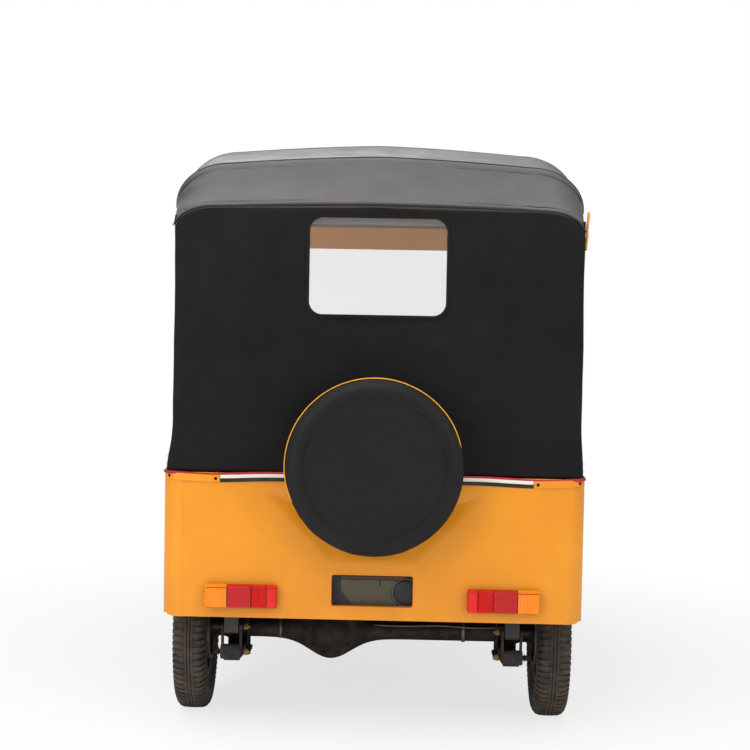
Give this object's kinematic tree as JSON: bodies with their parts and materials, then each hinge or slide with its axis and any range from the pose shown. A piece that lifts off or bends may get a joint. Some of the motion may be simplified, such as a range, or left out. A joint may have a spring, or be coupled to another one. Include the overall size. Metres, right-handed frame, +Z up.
{
  "type": "auto rickshaw",
  "caption": "Three-wheeled passenger vehicle with a fabric canopy over open sides, a covered spare wheel on its back, and free wheels and steering.",
  "frame": {"origin": "on the ground, at the middle of the vehicle's length and width", "axes": "+Z up, the front faces -Y, +X is the vehicle's left"},
  "size_m": [1.358, 2.8875, 1.907],
  "materials": {
    "yellow_paint": "semi-gloss enamel, slightly dulled",
    "grey_paint": "satin chassis paint",
    "black_paint": "satin black",
    "canopy_cloth": "coated woven canopy cloth",
    "seat_vinyl": "seat vinyl",
    "clear_vinyl": "clear flexible window sheet",
    "screen_glass": "laminated glass",
    "lamp_lens": "moulded lamp lens",
    "tyre": "road-worn rubber",
    "steel": "worn steel",
    "dark_steel": "dark oiled steel",
    "chrome": "lamp reflector and rim",
    "black_plastic": "moulded plastic",
    "cover_vinyl": "spare wheel cover vinyl"
  },
  "bodies": {
    "body": {"chassis_frame": "black_paint", "steering_neck": "black_paint", "floor_pan": "grey_paint", "front_cowl": "yellow_paint", "dashboard": "black_plastic", "windscreen_frame": "yellow_paint", "windscreen_glass": "screen_glass", "side_sills": "yellow_paint", "quarter_panel_left": "yellow_paint", "quarter_panel_right": "yellow_paint", "rear_panel": "yellow_paint", "wheelhouses": "black_paint", "belt_trim": "yellow_paint", "tail_lamps": "lamp_lens", "driver_seat_base": "grey_paint", "driver_cushion": "seat_vinyl", "driver_backrest": "seat_vinyl", "partition": "black_paint", "passenger_seat_base": "grey_paint", "passenger_cushion": "seat_vinyl", "passenger_backrest": "seat_vinyl", "canopy_frame": "black_paint", "canopy_roof": "canopy_cloth", "canopy_back": "canopy_cloth", "canopy_sides": "canopy_cloth", "rear_window": "clear_vinyl", "spare_carrier": "black_paint", "spare_rim": "steel", "spare_tyre": "tyre", "spare_cover": "cover_vinyl", "rear_axle": "dark_steel", "leaf_springs": "dark_steel", "spring_shackles": "steel", "engine": "dark_steel", "propshaft": "dark_steel", "fuel_tank": "grey_paint", "air_cleaner": "black_plastic", "muffler": "dark_steel", "headlamps": "chrome", "mirrors": "black_plastic"},
    "steering": {"front_fork": "black_paint", "handlebar": "black_plastic", "front_mudguard": "yellow_paint"},
    "front_wheel": {"front_rim": "steel", "front_tyre": "tyre"},
    "rear_wheel_left": {"rear_rim_left": "steel", "rear_tyre_left": "tyre"},
    "rear_wheel_right": {"rear_rim_right": "steel", "rear_tyre_right": "tyre"}
  },
  "joints": [
    {"name": "steering_turn", "type": "hinge", "parent": "body", "child": "steering", "pos_m": [0, -1.12389, 0.25626], "axis": [0, 0.3746, 0.9272], "range_deg": [-38, 38]},
    {"name": "front_wheel_spin", "type": "hinge", "parent": "steering", "child": "front_wheel", "pos_m": [0, -1.1517, 0.2675], "axis": [1, 0, 0], "continuous": true},
    {"name": "rear_wheel_left_spin", "type": "hinge", "parent": "body", "child": "rear_wheel_left", "pos_m": [0.58, 0.8983, 0.2675], "axis": [1, 0, 0], "continuous": true},
    {"name": "rear_wheel_right_spin", "type": "hinge", "parent": "body", "child": "rear_wheel_right", "pos_m": [-0.58, 0.8983, 0.2675], "axis": [1, 0, 0], "continuous": true}
  ]
}
